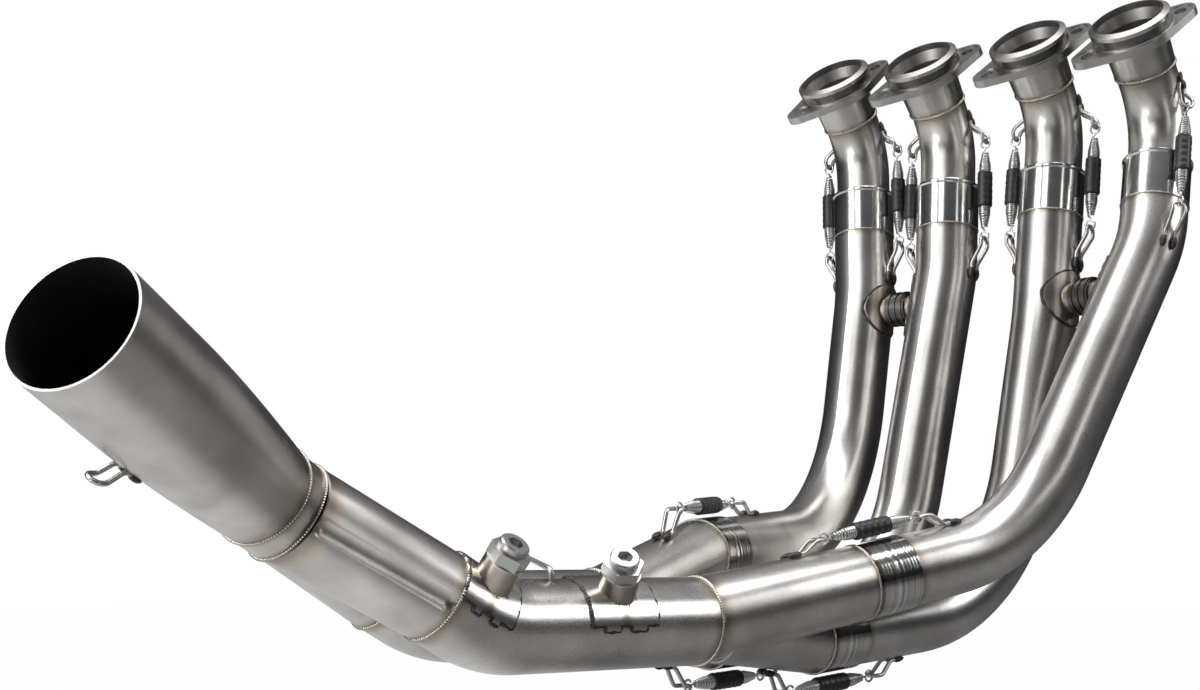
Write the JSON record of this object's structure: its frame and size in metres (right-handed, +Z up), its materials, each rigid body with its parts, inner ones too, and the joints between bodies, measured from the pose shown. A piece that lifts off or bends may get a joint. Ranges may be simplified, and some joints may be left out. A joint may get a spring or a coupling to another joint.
{
  "type": "motorcycle exhaust header",
  "caption": "Tubular exhaust header for an inline four motorcycle engine: pipes from each port merge in pairs, then into a single outlet.",
  "frame": {"origin": "middle of the row of port mouths, on the line through the mouths' centres", "axes": "+X to the front of the bike, +Y to its left, along the row of ports, +Z up"},
  "size_m": [0.7911, 0.3063, 0.4652],
  "materials": {
    "tube": "brushed titanium tube, slightly warm grey",
    "turned": "turned titanium, fine machining lines",
    "flange": "machined plate, satin",
    "polished": "polished turned sleeve",
    "spring": "bright spring wire",
    "wire": "bent welding rod, satin",
    "plug": "plated hexagon plug",
    "damper": "black rubber sleeve"
  },
  "bodies": {
    "root": {"port_flange_1": "flange", "port_flange_2": "flange", "port_flange_3": "flange", "port_flange_4": "flange", "port_stub_1": "turned", "port_stub_2": "turned", "port_stub_3": "turned", "port_stub_4": "turned", "upper_pipe_1": "tube", "upper_pipe_2": "tube", "upper_pipe_3": "tube", "upper_pipe_4": "tube", "slip_sleeve_1": "polished", "slip_sleeve_2": "polished", "slip_sleeve_3": "polished", "slip_sleeve_4": "polished", "primary_pipe_1": "tube", "primary_pipe_2": "tube", "primary_pipe_3": "tube", "primary_pipe_4": "tube", "joint_springs_1": "spring", "joint_springs_2": "spring", "joint_springs_3": "spring", "joint_springs_4": "spring", "spring_hooks_1": "wire", "spring_hooks_2": "wire", "spring_hooks_3": "wire", "spring_hooks_4": "wire", "crossover_saddle_1": "tube", "crossover_saddle_2": "tube", "crossover_saddle_3": "tube", "crossover_saddle_4": "tube", "crossover_coupling_near": "damper", "crossover_coupling_far": "damper", "near_collector": "tube", "far_collector": "tube", "collector_sleeve_1": "polished", "collector_sleeve_2": "polished", "collector_sleeve_3": "polished", "collector_sleeve_4": "polished", "near_secondary": "tube", "far_secondary": "tube", "final_collector": "tube", "mitre_ring": "tube", "outlet_cone": "tube", "lambda_saddle_near": "tube", "lambda_saddle_far": "tube", "lambda_bung_near": "turned", "lambda_bung_far": "turned", "lambda_plug_near": "plug", "lambda_plug_far": "plug", "collector_springs_near": "spring", "collector_springs_far": "spring", "collector_hooks_near": "wire", "collector_hooks_far": "wire", "spring_dampers": "damper", "outlet_hooks": "wire", "secondary_strap": "wire"}
  },
  "joints": []
}
